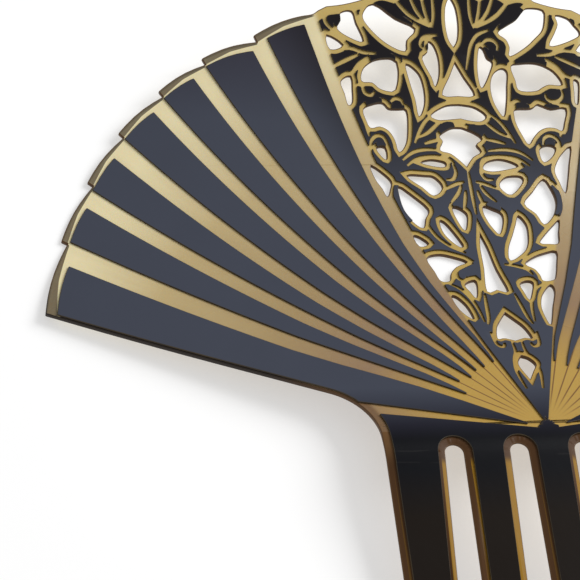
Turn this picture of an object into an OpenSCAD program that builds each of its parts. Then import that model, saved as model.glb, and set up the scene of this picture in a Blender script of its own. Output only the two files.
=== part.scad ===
// A fan-shaped back comb cut from two-ply sheet: a clear amber ply with five teeth,
// and a thin black ply on its face, carved into fan blades and scrollwork.
// The pattern is drawn flat, with x across and y up the comb, and is cut straight
// through the bent sheet. The focus, where the blades meet, is its origin.
// The finished comb lies on its back, face up, with its outline's centre over the origin.

/* [Fan] */
// Radius of the fan, from the focus to the top of the pierced panel
fan_r = 117; // [105:1:130]
// Depth of the step from one blade tip down to the next
blade_step = 1.5; // [1:0.25:3]
// Rounding of the corners of the outline and the openings
outline_corner_r = 0.3; // [0.2:0.05:0.4]
// Rise of each blade tip's curve above its chord
blade_bulge = 0.5; // [0:0.1:1.5]
// Rise of the wing's lower edge towards its tip
wing_edge_deg = 22.5; // [18:0.5:28]
// Radius of the curve from the wing into the base
wing_fillet_r = 14; // [6:1:20]

/* [Base and teeth] */
// Half the width of the base
base_half_w = 38.5; // [36:0.5:44]
// Distance between neighbouring gaps
tooth_pitch = 15; // [14:0.25:16]
// Width of a gap at its round top
gap_w = 4.3; // [3.5:0.1:5]
// Angle by which each side of a gap leans outwards
gap_flare_deg = 1.2; // [0:0.1:1.5]
// Lean of each gap from its neighbour
tooth_spread_deg = 1.4; // [0:0.2:2]
// Sideways shift of the hand-cut gaps from the middle line
gap_shift = 0.4; // [0:0.1:0.8]
// Distance from the focus down to the gap tops
gap_top = 4.2; // [3.8:0.2:6]
// Distance from the focus down to the tooth tips
tooth_l = 72; // [50:1:85]
// Radius of the tooth tips' corners
tip_r = 3; // [1:0.2:4]

/* [Sheet] */
// Thickness of the amber ply
amber_t = 1; // [0.8:0.1:2]
// Thickness of the black ply
black_t = 0.4; // [0.3:0.05:0.8]
// Glue line between the plies
glue_t = 0.02; // [0.01:0.01:0.05]

/* [Bend of the sheet] */
// Height of the flat stretch above the focus
flat_h = 22; // [10:1:30]
// Radius of the curved heading, measured to its face
heading_r = 160; // [150:5:260]
// Angle between the heading's flat stretch and the teeth
base_bend_deg = 22; // [12:1:26]
// Radius of the bend at the base, measured to its face
base_bend_r = 20; // [12:1:30]

/* [Black ply] */
// Amber strip left along the blade tips
tip_strip = 1.9; // [1:0.1:3]
// Amber strip left along the wing's tip
wing_strip = 2.5; // [1.5:0.1:3.5]
// Amber strip left along the wing's lower edge
edge_strip = 0.3; // [0.2:0.1:1.5]
// Amber strip left round each gap between the teeth and along the base's sides
gap_strip = 1.75; // [1:0.05:2.2]
// Amber strip left round each opening of the scrollwork
scroll_strip = 1.05; // [0.6:0.05:1.2]
// Width of the carved lines in the scrollwork
vein_w = 0.9; // [0.4:0.05:1.1]
// Width of the band in which the black may run up to an opening's edge
bare_w = 2.8; // [2.2:0.1:3.4]
// Width of the amber line between the wing and the base, at the wing's root
base_line_w = 2.9; // [1:0.1:3]
// Width of that line at the focus
base_line_end = 0.6; // [0.4:0.1:1]
// Radius of the black knot at the focus
knot_r = 2.4; // [1.5:0.1:3]
// Rounding of the black corners
black_corner_r = 0.2; // [0.2:0.05:0.5]

/* [Pierced panel] */
// Half the angle of the pierced panel at the focus
panel_half_deg = 17; // [16:0.25:17.5]
// Widening of the panel's right half, which is hand-cut
right_stretch = 1.06; // [1:0.01:1.08]
// Sideways drift of the hand-cut pattern at mid height
axis_drift = 1.3; // [0:0.1:1.5]

/* [Hidden] */
amber = [0.80, 0.62, 0.28];
black = [0.10, 0.10, 0.13];
tooth_count = 5;
curve_steps = 3;
arc_step_deg = 1.5;
base_line_deg = 10.2;
base_line_drop = 0.7;
last_point_x = 3.4;
blade_reach = 1.5;
bend_drop = 4;
bend_step_deg = 2;
sliver = 0.15;
knot_points = 8;
knot_waist = 0.6;
knot_clearance = 0.05;
edge_clearance = 0.05;
fillet_steps = 6;
gap_facets = 24;
corner_facets = 16;
// Share of a carved line's width that is left at its ends
line_end = 0.5;
// Widest rounding of a tooth tip, as a share of the tooth's width
tip_share = 0.45;
// Cutters reach this far beyond what they cut
margin = 1;
// Shallow lobes along the panel's top
lobe_deg = 3.6;
lobe_steps = 6;
lobe_count = 3;
lobe_rise = 0.008;
panel_edge = 0.985;
panel_drawn_deg = 17;

// Blades from the panel outwards. Columns: the point's radius as a share of the fan's, its
// angle, then the angles of the inner and the outer edge at each of the edge's shares of the
// radius. The last blade starts on the base line, which is its outer edge too.
blade_table = [
    [0.155, 20.7, 18.9, 21.2, 20.6, 23.5, 18.9, 23.8],
    [0.155, 28.9, 26.2, 29.1, 26.3, 31.1, 26.1, 32.0],
    [0.145, 35.8, 33.5, 35.8, 33.9, 38.0, 34.1, 38.4],
    [0.165, 42.6, 39.6, 43.9, 41.0, 45.7, 40.5, 45.3],
    [0.175, 50.5, 48.7, 51.8, 49.1, 53.0, 48.0, 52.9],
    [0.150, 58.0, 55.6, 59.7, 56.3, 60.8, 55.3, 60.4],
    [0.050, 80.0, 64.8, 80.0, 65.2, 75.0, 63.6, 71.0]];
edge_shares = [0.25, 0.5, 0.92];

// Corners of the stepped outline. Columns: angle, and radius as a share of the fan's.
corner_table = [
    [17.4, 0.998], [25.1, 0.994], [31.9, 1.009], [38.3, 1.012],
    [45.2, 1.010], [52.3, 0.998], [60.6, 0.983], [71.0, 0.962]];

// End of the panel's top, up to the first blade. Columns as above.
panel_rim_table = [[13.5, 0.985], [15.5, 0.990], [16.6, 0.988]];

// Openings beside the middle line, in hundredths of the fan's radius. The panel is cut by
// hand, so each row has two closed curves through a few knots [across, up]: the left one
// and the right one.
side_openings = [
    // under the top scroll
    [[[23.5, 94.2], [21.2, 94.5], [20.5, 92.5], [19.2, 89.3], [21.7, 89.8], [24.4, 91.4], [23.7, 92.8]],
     [[24.0, 93.8], [21.6, 94.3], [21.9, 92.8], [21.0, 91.0], [19.8, 88.9], [22.2, 89.2], [25.6, 90.5],
      [26.2, 91.4],
      [25.2, 92.6]]],
    // over the long arched stem
    [[[16.4, 95.8], [18.8, 94.0], [17.8, 91.9], [14.4, 89.0], [10.5, 87.5], [9.9, 89.6], [8.0, 91.6],
      [12.0, 93.3]],
     [[15.9, 95.5], [19.0, 95.2], [19.1, 93.4], [18.5, 91.7], [17.1, 90.4], [14.7, 88.5], [11.4, 86.8],
      [11.5, 88.4],
      [10.9, 89.9], [9.4, 91.1], [11.4, 92.4], [13.3, 93.4], [14.7, 94.8]]],
    // below the top scroll, against the border
    [[[26.8, 90.2], [26.3, 87.7], [23.6, 88.5]],
     [[27.6, 90.0], [27.2, 87.8], [25.2, 88.0]]],
    // between the volute and the middle stem
    [[[5.3, 89.2], [4.2, 88.4], [3.5, 86.0], [3.7, 83.0], [4.7, 80.9], [5.3, 82.7], [6.9, 86.1],
      [5.7, 87.3]],
     [[6.0, 87.9], [6.6, 86.3], [7.6, 85.5], [6.9, 83.7], [5.9, 81.8], [4.9, 80.7], [4.5, 82.8],
      [4.6, 85.4],
      [5.2, 88.2]]],
    // long crescent
    [[[10.5, 85.0], [10.1, 82.0], [9.2, 78.2], [8.8, 74.9], [7.5, 77.0], [7.2, 80.0], [8.0, 83.2]],
     [[10.4, 83.7], [10.1, 81.2], [9.7, 78.1], [8.9, 75.0], [7.8, 76.3], [7.0, 78.4], [6.8, 80.9],
      [7.5, 83.1],
      [9.2, 84.3]]],
    // dome over the paired scrolls
    [[[20.2, 81.8], [19.5, 84.2], [16.5, 85.8], [12.5, 85.4], [13.2, 80.2], [16.2, 80.2], [18.0, 81.5]],
     [[21.5, 81.4], [20.3, 83.6], [18.2, 84.9], [16.0, 85.4], [13.4, 85.3], [11.4, 84.8], [12.0, 82.2],
      [12.4, 80.4],
      [14.1, 80.0], [16.2, 80.2], [17.3, 80.8], [18.8, 81.4]]],
    // narrow, against the border
    [[[24.6, 81.6], [22.5, 82.6], [22.4, 80.0], [22.6, 77.7], [23.5, 77.1], [24.0, 79.3]],
     [[24.9, 81.8], [24.0, 82.2], [23.9, 80.0], [23.8, 77.9], [24.3, 77.6], [24.7, 79.5]]],
    // broad, below the paired scrolls
    [[[20.4, 76.2], [18.2, 77.2], [16.2, 77.4], [15.0, 76.3], [12.8, 76.2], [11.4, 76.0], [11.4, 73.0],
      [12.1, 69.5], [13.8, 67.5], [14.4, 70.0], [15.5, 71.9], [17.3, 72.8], [19.2, 72.5], [20.0, 74.0]],
     [[21.7, 76.6], [18.8, 76.4], [17.0, 77.0], [15.9, 77.3], [14.6, 76.5], [11.4, 76.3], [11.0, 75.0],
      [11.3, 73.2],
      [12.2, 71.0], [13.2, 69.2], [14.4, 70.7], [15.7, 72.0], [17.3, 72.7], [19.1, 72.6], [20.4, 72.1],
      [21.1, 73.8]]],
    // eye of the side scroll
    [[[18.5, 68.2], [16.7, 68.4], [16.6, 66.1], [17.4, 66.3]],
     [[18.5, 68.4], [16.9, 68.9], [15.4, 68.2], [15.2, 67.0], [15.8, 65.4], [17.6, 66.6]]],
    // slot under the acanthus
    [[[9.5, 65.2], [7.3, 65.8], [4.6, 65.3], [4.6, 64.4], [6.4, 64.4]],
     [[10.3, 64.5], [8.7, 65.5], [6.5, 65.9], [4.2, 65.3], [3.3, 63.9], [5.1, 63.4], [8.0, 63.8]]],
    // below the diagonal stem, against the border
    [[[20.1, 64.6], [16.6, 61.6], [16.8, 59.5], [17.7, 57.9], [18.4, 59.6], [19.6, 61.8]],
     [[21.6, 68.6], [19.6, 67.0], [18.2, 64.9], [17.7, 63.2], [18.3, 60.9], [19.0, 58.7], [20.0, 61.6],
      [20.8, 65.0]]],
    // between the diagonal stem and the palmette
    [[[12.9, 62.4], [9.0, 62.4], [7.1, 62.0], [5.8, 59.9], [7.9, 58.1], [10.0, 59.9]],
     [[10.7, 62.1], [8.9, 62.3], [7.3, 61.9], [6.1, 60.6], [6.4, 59.3], [8.1, 58.3], [10.6, 60.8]]],
    // leaf-shaped, below the diagonal stem
    [[[15.0, 60.0], [12.6, 58.2], [9.7, 55.1], [10.6, 53.0], [11.5, 50.8], [13.2, 52.0], [14.7, 54.5],
      [15.2, 57.5]],
     [[15.0, 61.6], [12.5, 58.9], [10.3, 56.2], [12.2, 53.9], [13.3, 51.5], [15.3, 53.2], [16.4, 55.3],
      [16.7, 57.3],
      [16.2, 59.5]]],
    // beside the palmette's foot
    [[[4.6, 55.0], [3.5, 55.3], [1.9, 54.0], [2.1, 52.0], [2.9, 50.2], [3.7, 51.5]],
     [[5.2, 53.9], [3.7, 54.9], [2.0, 55.6], [1.7, 54.3], [2.2, 52.2], [2.9, 50.6], [3.9, 49.3],
      [5.1, 51.9]]],
    // slender leaf
    [[[7.8, 52.3], [6.7, 51.8], [5.2, 49.2], [4.2, 46.7], [4.9, 46.3], [6.5, 47.9], [7.6, 49.9]],
     [[8.5, 53.4], [9.6, 51.5], [9.5, 49.1], [8.9, 46.8], [7.6, 44.9], [4.6, 43.0], [4.9, 45.8],
      [6.3, 48.7],
      [7.6, 51.5]]],
    // small, against the border
    [[[14.0, 48.8], [12.9, 48.7], [11.3, 47.1], [13.2, 46.5]],
     [[16.4, 52.3], [15.2, 51.3], [13.2, 49.3], [11.5, 47.2], [13.3, 46.9], [15.1, 47.1], [15.7, 49.6]]],
    // bell-shaped
    [[[12.4, 43.6], [9.8, 44.5], [7.0, 43.9], [4.4, 42.7], [6.8, 41.6], [8.4, 40.0], [9.1, 38.2],
      [10.9, 38.2], [11.6, 40.5]],
     [[14.1, 45.0], [11.6, 44.6], [9.2, 43.6], [7.3, 42.1], [8.8, 40.9], [9.5, 39.4], [9.8, 38.0],
      [11.8, 38.2],
      [12.6, 39.4], [13.5, 42.2]]],
    // eye of the lower scroll
    [[[6.2, 37.2], [4.0, 38.2], [3.9, 36.5], [4.8, 33.9], [5.6, 35.4]],
     [[7.5, 37.5], [6.3, 37.9], [4.9, 37.1], [5.2, 35.2], [5.7, 33.3], [6.7, 35.1]]],
    // lowest leaf, against the border
    [[[9.8, 34.2], [8.7, 34.1], [7.3, 31.8], [6.8, 28.7], [7.8, 29.2], [9.1, 31.2]],
     [[10.8, 36.9], [11.2, 35.3], [9.8, 31.6], [8.1, 26.9], [7.6, 28.9], [7.6, 31.6], [8.6, 34.4]]]];

// Openings that cross the middle line, top to bottom. Each row has the left edge and, where
// it differs, the right edge, in the same units.
middle_openings = [
    // drop between the top leaves
    [[[0, 97.4], [1.0, 95.5], [1.3, 92.5], [0.9, 89.8], [0, 88.4]]],
    // tall triangle over the bridge
    [[[0, 85.4], [1.5, 82.6], [3.3, 79.2], [0, 79.0]]],
    // crescent under the bridge
    [[[0, 77.2], [3.0, 76.9], [6.2, 75.1], [4.8, 74.2], [2.5, 74.3], [0, 74.5]],
     [[0, 77.2], [3.0, 76.7], [5.2, 75.1], [4.2, 74.0], [2.3, 74.0], [0, 74.5]]],
    // heart under the acanthus
    [[[0, 72.5], [2.2, 72.4], [4.8, 70.9], [4.3, 69.7], [5.1, 67.9], [3.0, 67.2], [1.2, 65.7], [0, 64.4]],
     [[0, 72.5], [2.2, 71.6], [3.8, 70.3], [2.5, 69.1], [3.3, 67.6], [1.5, 66.4], [0, 64.4]]],
    // long narrow triangle
    [[[0, 49.2], [0.7, 46.0], [1.2, 41.0], [2.1, 35.5], [0, 35.9]]],
    // arrow-head
    [[[0, 30.0], [1.2, 28.5], [2.7, 26.3], [3.4, 23.4], [2.0, 23.5], [0, 22.8]]],
    // lozenge over the focus
    [[[0, 18.7], [1.2, 16.4], [0, 12.4]],
     [[0, 18.7], [1.2, 18.1], [2.1, 16.4], [1.2, 14.6], [0, 12.4]]]];

// Lines carved through the black to the amber, in the same units. Each row has the left
// line and, where it differs, the right line.
carved_lines = [
    // top scroll
    [[[24.2, 94.3], [26.0, 94.5], [27.1, 93.1], [26.0, 91.5], [23.0, 90.0]], []],
    [[[26.6, 87.2], [22.5, 87.9], [19.5, 87.1], [16.8, 86.9]]],
    // two leaves against the border
    [[[26.6, 84.1], [23.5, 85.5], [20.5, 86.7]]],
    [[[25.4, 82.2], [22.4, 83.0], [20.6, 84.9], [18.4, 86.3]]],
    // top leaves
    [[[4.4, 91.8], [3.8, 94.5], [3.9, 99.0]]],
    [[[4.6, 91.9], [5.6, 94.5], [6.5, 99.0]]],
    [[[4.8, 92.0], [7.5, 94.8], [9.3, 99.0]]],
    [[[5.0, 92.0], [9.5, 94.3], [13.5, 98.5]]],
    // volute
    [[[3.4, 90.4], [5.2, 90.3], [6.6, 89.8], [7.2, 88.6], [6.6, 87.9]],
     [[5.9, 89.1], [6.9, 89.7], [8.1, 89.6], [8.9, 88.7], [8.7, 87.7]]],
    [[], [[2.1, 84.0], [2.8, 86.6], [3.5, 88.7], [5.0, 90.6], [7.4, 91.5]]],
    // paired scrolls
    [[[22.0, 80.9], [20.4, 80.8], [19.9, 79.4], [18.6, 78.9], [17.8, 79.6]],
     [[17.7, 79.4], [17.9, 78.5], [18.9, 77.9], [20.4, 78.1], [21.3, 79.2], [21.0, 80.6]]],
    [[[14.6, 77.6], [13.6, 78.3], [12.4, 78.0], [12.0, 77.0]],
     [[10.4, 76.8], [10.8, 77.5], [11.6, 78.0], [12.4, 77.9]]],
    // side scroll
    [[[19.9, 66.9], [19.6, 69.4], [18.4, 70.7], [17.0, 70.5], [16.2, 68.8], [16.0, 66.4]],
     [[16.0, 68.9], [16.4, 70.3], [17.6, 70.9], [18.9, 70.2], [19.4, 68.8], [18.8, 67.2]]],
    // acanthus ribs
    [[[10.4, 69.2], [9.2, 71.5], [7.6, 73.8], [5.6, 75.4]]],
    [[[8.4, 69.1], [6.4, 69.7], [4.2, 70.1]]],
    [[[9.6, 70.4], [7.4, 71.4], [5.4, 73.0], [4.4, 73.8]]],
    [[[13.4, 65.6], [11.0, 67.3], [8.0, 67.9], [4.6, 67.6]]],
    [[[12.6, 64.4], [10.4, 65.9], [7.0, 66.4], [3.8, 66.0], [2.7, 64.8]]],
    // palmette scroll and ribs
    [[[3.0, 64.9], [2.6, 63.0], [3.4, 61.5], [4.9, 61.4]]],
    [[[1.2, 60.9], [3.0, 60.4], [5.6, 59.2]]],
    [[[1.9, 60.2], [2.8, 58.4], [4.6, 56.4]]],
    [[[1.2, 59.0], [1.6, 57.0], [2.3, 54.6]]],
    // stem along the border
    [[[20.9, 76.8], [20.2, 73.0], [19.8, 70.6]]],
    [[], [[16.5, 61.1], [17.9, 58.9], [18.2, 56.8], [17.9, 54.6], [16.6, 52.4], [14.4, 50.4]]],
    // lower leaves
    [[[11.0, 54.4], [10.8, 51.8], [9.4, 48.6], [7.0, 46.2], [4.2, 44.6]], []],
    // lower scroll
    [[[3.4, 42.2], [5.4, 41.4], [7.2, 40.4], [7.4, 38.6], [6.2, 37.9], [5.4, 38.8]],
     [[2.9, 41.8], [5.0, 41.4], [7.0, 40.6], [7.9, 39.2]]],
    [[[9.6, 37.2], [7.6, 35.8], [6.2, 33.6], [5.4, 30.8], [5.0, 27.4]]],
    // fork over the arrow-head
    [[[3.0, 34.6], [3.4, 32.0], [3.9, 28.6], [4.5, 26.8]]],
    // hooks over the lozenge
    [[[4.6, 24.8], [4.2, 21.6], [3.0, 20.9], [2.6, 21.9]]],
    [[[1.0, 22.4], [1.0, 19.6], [1.8, 17.4], [2.3, 14.0], [1.6, 9.6]]]];

// Stretches of opening edges where the black runs up to the edge, in rows as above
bare_edges = [
    // top leaf, top scroll and volute
    [[[16.6, 96.2], [14.4, 94.9], [12.0, 93.5], [8.6, 91.9]],
     [[14.4, 95.6], [13.3, 93.9], [11.4, 92.7], [9.6, 91.5]]],
    [[[23.8, 94.2], [24.2, 93.0], [24.6, 91.8]]],
    [[[4.6, 88.6], [5.4, 87.4]], [[5.8, 88.2], [6.5, 86.8], [7.6, 85.8]]],
    // top of the dome
    [[[18.2, 86.0], [15.4, 86.3], [12.8, 85.8]], [[18.6, 85.0], [15.6, 85.8], [12.2, 85.4]]],
    // feet of the paired scrolls
    [[[19.8, 77.0], [18.2, 77.5], [16.4, 77.6]], [[20.4, 76.4], [18.8, 76.2], [17.2, 76.8]]],
    [[[14.6, 76.5], [13.0, 76.3], [11.8, 76.2]], [[14.2, 76.5], [12.6, 76.5], [11.4, 76.6]]],
    // acanthus over the heart
    [[[4.9, 71.4], [3.4, 72.4], [1.6, 72.9]], [[1.2, 72.5], [2.6, 71.9], [4.0, 70.8]]],
    // brow of the side scroll's eye
    [[[18.4, 68.4], [17.4, 68.8], [16.6, 68.6]], [[18.4, 68.8], [16.9, 69.2], [15.6, 68.6]]],
    // palmette's foot
    [[[4.4, 55.3], [3.2, 55.6], [2.2, 54.8]], [[5.0, 54.3], [3.7, 55.2], [2.4, 55.6]]],
    // stem beside the leaf-shaped opening
    [[[15.4, 60.2], [15.5, 57.4], [15.0, 54.6], [13.6, 52.2]],
     [[16.0, 60.0], [16.8, 58.0], [16.8, 56.0], [15.8, 53.6]]]];
middle_line = [[0, 63.8], [0, 53.6]];

unit = fan_r / 100;
panel_stretch = tan(panel_half_deg) / tan(panel_drawn_deg);
drift_length = 1.08 * fan_r;
sheet_t = black_t + glue_t + amber_t;
amber_face = black_t + glue_t;
reach = 4 * fan_r;

function polar(r, deg) = [r * sin(deg), r * cos(deg)];
function drift(y) = -axis_drift * pow(sin(180 * min(y, drift_length) / drift_length), 4);
function place(knot, side) = let (y = knot[1] * unit)
    [drift(y) + knot[0] * unit * panel_stretch * (side > 0 ? right_stretch : -1), y];
// A row's curve on one side of the middle line; a row with one curve is alike on both
function curve_of(row, side) = [for (knot = row[side > 0 ? len(row) - 1 : 0]) place(knot, side)];
function mirrored(points) = [for (i = [len(points) - 1:-1:0]) [-points[i][0], points[i][1]]];

// Catmull-Rom curve through knots: the point at share t between b and c
function spline(a, b, c, d, t) = 0.5 * (2 * b + (c - a) * t
    + (2 * a - 5 * b + 4 * c - d) * t * t + (3 * b - a - 3 * c + d) * t * t * t);

function closed_curve(k) = let (n = len(k)) [for (i = [0:n - 1], j = [0:curve_steps - 1])
    spline(k[(i + n - 1) % n], k[i], k[(i + 1) % n], k[(i + 2) % n], j / curve_steps)];

function open_curve(k) = let (n = len(k)) [for (i = [0:n - 2], j = [0:curve_steps - 1])
    spline(k[max(i - 1, 0)], k[i], k[i + 1], k[min(i + 2, n - 1)], j / curve_steps), k[n - 1]];

// Ribbon along a curve, full in its middle and narrow at both ends
function ribbon(points, w) = let (n = len(points) - 1,
    side = [for (i = [0:n]) let (
        run = points[min(i + 1, n)] - points[max(i - 1, 0)],
        half = w / 2 * (line_end + (1 - line_end) * sin(180 * i / n)) / norm(run))
        [-run[1], run[0]] * half])
    concat([for (i = [0:n]) points[i] + side[i]], [for (i = [n:-1:0]) points[i] - side[i]]);

// Outline of the right half, from the top of the middle line to the tooth tips
function step_arc(from, to) = let (
        r0 = from[1] * fan_r - blade_step,
        r1 = to[1] * fan_r,
        n = max(2, ceil((to[0] - from[0]) / arc_step_deg)))
    [for (i = [0:n]) polar(r0 + (r1 - r0) * i / n + blade_bulge * sin(180 * i / n),
        from[0] + (to[0] - from[0]) * i / n)];

corner_count = len(corner_table);
wing_corner = polar(corner_table[corner_count - 1][1] * fan_r, corner_table[corner_count - 1][0]);
wing_root_y = wing_corner[1] - (wing_corner[0] - base_half_w) * tan(wing_edge_deg);
fillet_run = wing_fillet_r * tan((90 - wing_edge_deg) / 2);
fillet_middle = [base_half_w + wing_fillet_r, wing_root_y - fillet_run];
panel_top = [for (i = [0:lobe_count * lobe_steps])
    polar(fan_r * (panel_edge + lobe_rise * abs(sin(180 * i / lobe_steps))), i * lobe_deg / lobe_steps)];
half_outline = concat(
    panel_top,
    [for (rim = panel_rim_table) polar(rim[1] * fan_r, rim[0])],
    [for (k = [0:corner_count - 2]) each step_arc(corner_table[k], corner_table[k + 1])],
    [for (i = [0:fillet_steps]) let (deg = (90 - wing_edge_deg) * (1 - i / fillet_steps))
        fillet_middle - wing_fillet_r * [cos(deg), -sin(deg)]],
    [[base_half_w, -tooth_l], [0, -tooth_l]]);

module both() {
    children();
    mirror([1, 0]) children();
}

module gap(index, grow = 0) {
    across = (index + 0.5) * tooth_pitch;
    half = gap_w / 2 + grow;
    down = 2 * tooth_l;
    spread = down * tan(gap_flare_deg);
    translate([across, -gap_top - gap_w / 2]) rotate((index + 0.5) * tooth_spread_deg) {
        circle(r = half, $fn = gap_facets);
        polygon([[-half, 0], [-half - spread, -down], [half + spread, -down], [half, 0]]);
    }
}

module gaps(grow = 0) {
    translate([-gap_shift, 0]) both() for (i = [0:(tooth_count - 3) / 2]) gap(i, grow);
}

module whole_outline() {
    polygon(concat(half_outline, mirrored(half_outline)));
}

// Outline with the gaps cut and the tooth tips rounded
module toothed_outline() {
    narrowest = tooth_pitch - gap_w - 2 * tooth_l * tan(gap_flare_deg);
    rounding = min(tip_r, tip_share * narrowest);
    tip_zone = 6 * rounding;
    difference() {
        whole_outline();
        gaps();
        tip_band(rounding);
    }
    offset(r = rounding) offset(delta = -rounding) difference() {
        intersection() {
            whole_outline();
            tip_band(tip_zone);
        }
        gaps();
    }
}

module tip_band(h) {
    translate([-reach / 2, -tooth_l - margin]) square([reach, h + margin]);
}

module openings() {
    for (side = [-1, 1], row = side_openings)
        polygon(closed_curve(curve_of(row, side)));
    for (row = middle_openings) {
        left = open_curve(curve_of(row, -1));
        right = open_curve(curve_of(row, 1));
        polygon(concat(right, [for (i = [len(left) - 2:-1:1]) left[i]]));
    }
}

module amber_pattern() {
    offset(r = outline_corner_r, $fn = corner_facets) offset(delta = -outline_corner_r) difference() {
        toothed_outline();
        openings();
    }
}

// Point on the line between wing and base, moved across it by a share of its width there
function base_line_point(x, share) = let (
        width = base_line_end + (base_line_w - base_line_end) * abs(x) / base_half_w)
    [x, abs(x) * tan(base_line_deg) - base_line_drop + share * width];

module base_pattern() {
    rounded() {
        knot();
        difference() {
            intersection() {
                offset(delta = -gap_strip) whole_outline();
                polygon([[-reach, -reach], [reach, -reach], base_line_point(reach, -0.5),
                    base_line_point(0, -0.5), base_line_point(-reach, -0.5)]);
            }
            gaps(gap_strip);
        }
    }
}

// Black knot with short points, where the blades and the scrollwork meet the base
module knot(grow = 0) {
    points = [for (i = [-knot_points:knot_points])
        polar(knot_r * (i % 2 == 0 ? 1 : knot_waist) + grow, i * 90 / knot_points)];
    foot = -base_line_drop - base_line_w;
    polygon(concat(points, [[knot_r + grow, foot], [-knot_r - grow, foot]]));
}

module rounded() {
    offset(r = black_corner_r) offset(delta = -black_corner_r) children();
}

// A blade's inner (0) or outer (1) edge, from its point to beyond its tip
function blade_edge(k, point, side) = let (
        knots = [for (i = [0:len(edge_shares) - 1])
            polar(edge_shares[i] * fan_r, blade_table[k][2 * i + 2 + side])],
        tip = knots[len(knots) - 1])
    open_curve(concat([point], knots, [point + blade_reach * (tip - point)]));

// One blade: a wedge from its point to the strip along its own step of the outline
module blade_pattern(k) {
    last = k == len(blade_table) - 1;
    point = last ? base_line_point(last_point_x, 0.5)
        : polar(blade_table[k][0] * fan_r, blade_table[k][1]);
    inner = blade_edge(k, point, 0);
    outer = last ? [point, base_line_point(reach, 0.5)] : blade_edge(k, point, 1);
    rounded() intersection() {
        offset(delta = last ? -wing_strip : -tip_strip) tip_side(k);
        offset(delta = -edge_strip) step_side();
        polygon(concat(inner, [for (i = [len(outer) - 1:-1:1]) outer[i]]));
    }
}

module step_side() {
    polygon(concat([[-reach, -tooth_l], [-reach, fan_r]], half_outline));
}

// All that lies below one blade's tip, which is carried straight on past both its corners
module tip_side(k) {
    arc = step_arc(corner_table[k], corner_table[k + 1]);
    n = len(arc) - 1;
    past = reach / norm(arc[1] - arc[0]);
    polygon(concat([[-reach, -reach], arc[0] + past * (arc[0] - arc[1])], arc,
        [arc[n] + past * (arc[n] - arc[n - 1]), [reach, -reach]]));
}

module ribbons(rows, w) {
    for (side = [-1, 1], row = rows) {
        curve = curve_of(row, side);
        if (len(curve) > 0)
            polygon(ribbon(open_curve(curve), w));
    }
}

module scroll_pattern() {
    offset(r = sliver) offset(delta = -sliver) difference() {
        intersection() {
            offset(delta = -tip_strip) whole_outline();
            polygon([[0, 0], [right_stretch * tan(panel_half_deg) * reach, reach],
                [-tan(panel_half_deg) * reach, reach]]);
        }
        difference() {
            offset(delta = scroll_strip) openings();
            ribbons(bare_edges, bare_w);
        }
        offset(delta = edge_clearance) openings();
        knot(knot_clearance);
        ribbons(carved_lines, vein_w);
        polygon(ribbon(open_curve([for (k = middle_line) place(k, 1)]), vein_w));
    }
}

// The bent sheet, seen from its side with the face up: its run at one depth below the
// face, from beyond the tooth tips to beyond the heading's top
bend_start = base_bend_r * tan(base_bend_deg / 2) - bend_drop;
bend_middle = [bend_start, -base_bend_r];
heading_middle = [flat_h, heading_r];
heading_end = 1.05 * fan_r;
steepest_sine = 0.95;
heading_deg = asin(min(steepest_sine, (heading_end - flat_h) / heading_r));
tooth_way = [-cos(base_bend_deg), -sin(base_bend_deg)];

function arc(middle, r, from, to) = let (n = ceil(abs(to - from) / bend_step_deg))
    [for (i = [0:n]) middle + r * [cos(from + (to - from) * i / n), sin(from + (to - from) * i / n)]];

function sheet_run(depth) = let (
        bend = arc(bend_middle, base_bend_r - depth, 90 + base_bend_deg, 90),
        heading = arc(heading_middle, heading_r + depth, -90, heading_deg - 90))
    concat([bend[0] + 2 * tooth_l * tooth_way], bend, heading);

module sheet_band(from, to) {
    back = sheet_run(to);
    polygon(concat(sheet_run(from), [for (i = [len(back) - 1:-1:0]) back[i]]));
}

// A flat pattern cut straight through the band, then laid on its back
module cut_sheet(from, to) {
    lay() intersection() {
        rotate([90, 0, 90]) linear_extrude(height = reach, center = true) sheet_band(from, to);
        linear_extrude(height = reach, center = true) children();
    }
}

// The back of the teeth ends here, and the heading's back touches the table beyond it
bend_back = bend_middle + (base_bend_r - sheet_t) * [-sin(base_bend_deg), cos(base_bend_deg)];
tip_back = [-tooth_l, bend_back[1] - (bend_back[0] + tooth_l) * tan(base_bend_deg)];
to_heading = heading_middle - tip_back;
lie_deg = atan2(to_heading[1], to_heading[0]) - asin((heading_r + sheet_t) / norm(to_heading));

function laid(p) = [p[0] * cos(lie_deg) + p[1] * sin(lie_deg), p[1] * cos(lie_deg) - p[0] * sin(lie_deg)];

top_y = max([for (p = half_outline) p[1]]);
top_face = [top_y, heading_r - sqrt(pow(heading_r, 2) - pow(top_y - flat_h, 2))];
lay_middle = (laid(tip_back)[0] + laid(top_face)[0]) / 2;

module lay() {
    translate([0, -lay_middle, -laid(tip_back)[1]]) rotate([-lie_deg, 0, 0]) children();
}

module amber_ply() {
    color(amber) cut_sheet(amber_face, sheet_t) amber_pattern();
}

module base_facing() {
    color(black) cut_sheet(0, black_t) base_pattern();
}

module scroll_facing() {
    color(black) cut_sheet(0, black_t) scroll_pattern();
}

module blade_right(number) {
    color(black) cut_sheet(0, black_t) blade_pattern(number - 1);
}

module blade_left(number) {
    color(black) cut_sheet(0, black_t) mirror([1, 0]) blade_pattern(number - 1);
}

amber_ply();
base_facing();
scroll_facing();
blade_left(1);  // blade_left_1
blade_left(2);  // blade_left_2
blade_left(3);  // blade_left_3
blade_left(4);  // blade_left_4
blade_left(5);  // blade_left_5
blade_left(6);  // blade_left_6
blade_left(7);  // blade_left_7
blade_right(1);  // blade_right_1
blade_right(2);  // blade_right_2
blade_right(3);  // blade_right_3
blade_right(4);  // blade_right_4
blade_right(5);  // blade_right_5
blade_right(6);  // blade_right_6
blade_right(7);  // blade_right_7
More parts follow.
